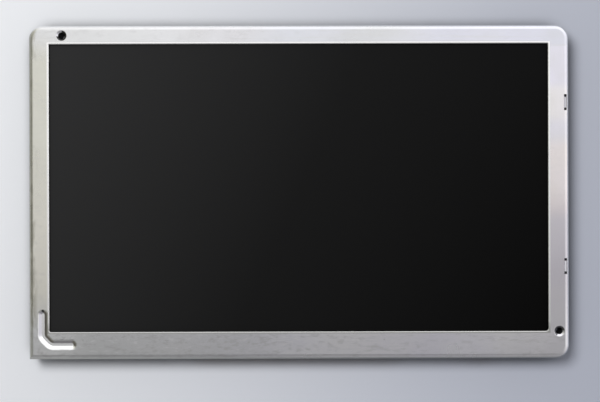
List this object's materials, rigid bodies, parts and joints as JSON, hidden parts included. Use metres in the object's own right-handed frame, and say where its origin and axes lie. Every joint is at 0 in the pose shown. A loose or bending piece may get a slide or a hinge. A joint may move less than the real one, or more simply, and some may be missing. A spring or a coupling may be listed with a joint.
{
  "type": "touchscreen lcd panel",
  "caption": "Bare LCD touch module: a folded steel bezel with a beaded corner and dimpled mounting holes round a dark screen, with a control board on the back.",
  "frame": {"origin": "centre of the outline, on the rear face of the shield cover that the module lies on", "axes": "+X to the right of the screen, +Y to its top, +Z out of the screen"},
  "size_m": [0.1694, 0.1046, 0.0117],
  "materials": {
    "bezel_steel": "brushed stainless sheet, satin, lightly scuffed",
    "chassis_steel": "zinc-coated sheet, satin",
    "shield_steel": "tin-plated sheet, satin",
    "screw_steel": "bright nickel plate",
    "frame_plastic": "moulded, fine matt",
    "touch_film": "dark anti-glare film",
    "clear_glass": "clear, polished",
    "adhesive": "black double-sided tape",
    "foam": "black closed-cell foam",
    "polarizer": "dark film",
    "optical_film": "white diffuse film",
    "acrylic": "clear moulded sheet",
    "polyimide": "amber film with copper tracks",
    "solder_mask": "green solder mask",
    "insulator": "black film",
    "chip_epoxy": "black moulding compound",
    "bare_chip": "polished dark chip",
    "connector_plastic": "ivory moulding",
    "contact_metal": "gold-plated",
    "led_body": "white moulding",
    "capacitor_body": "tan with tinned ends",
    "coil_core": "dark grey ferrite"
  },
  "bodies": {
    "root": {"front_bezel": "bezel_steel", "bezel_gasket_top": "foam", "bezel_gasket_left": "foam", "bezel_gasket_right": "foam", "bezel_gasket_bottom": "foam", "touch_film": "touch_film", "touch_spacer": "adhesive", "touch_glass": "clear_glass", "touch_flex": "polyimide", "panel_gasket": "adhesive", "front_polarizer": "polarizer", "colour_filter_glass": "clear_glass", "tft_glass": "clear_glass", "rear_polarizer": "polarizer", "source_flex": "polyimide", "mould_frame": "frame_plastic", "prism_sheet": "optical_film", "diffuser_sheet": "optical_film", "light_guide": "acrylic", "reflector_sheet": "optical_film", "led_flex": "polyimide", "rear_chassis": "chassis_steel", "insulation_sheet": "insulator", "control_board": "solder_mask", "source_connector": "connector_plastic", "touch_connector": "connector_plastic", "led_connector": "connector_plastic", "interface_socket": "connector_plastic", "interface_contacts": "contact_metal", "power_coil": "coil_core", "shield_cover": "shield_steel", "board_screws": "screw_steel", "chassis_screws": "screw_steel", "timing_controller": "chip_epoxy", "flash_memory": "chip_epoxy", "touch_controller": "chip_epoxy", "source_driver_1": "bare_chip", "source_driver_2": "bare_chip", "source_driver_3": "bare_chip", "gate_driver_1": "bare_chip", "gate_driver_2": "bare_chip", "led_1": "led_body", "led_2": "led_body", "led_3": "led_body", "led_4": "led_body", "led_5": "led_body", "led_6": "led_body", "led_7": "led_body", "led_8": "led_body", "led_9": "led_body", "capacitor_1": "capacitor_body", "capacitor_2": "capacitor_body", "capacitor_3": "capacitor_body", "capacitor_4": "capacitor_body", "capacitor_5": "capacitor_body", "capacitor_6": "capacitor_body"}
  },
  "joints": []
}
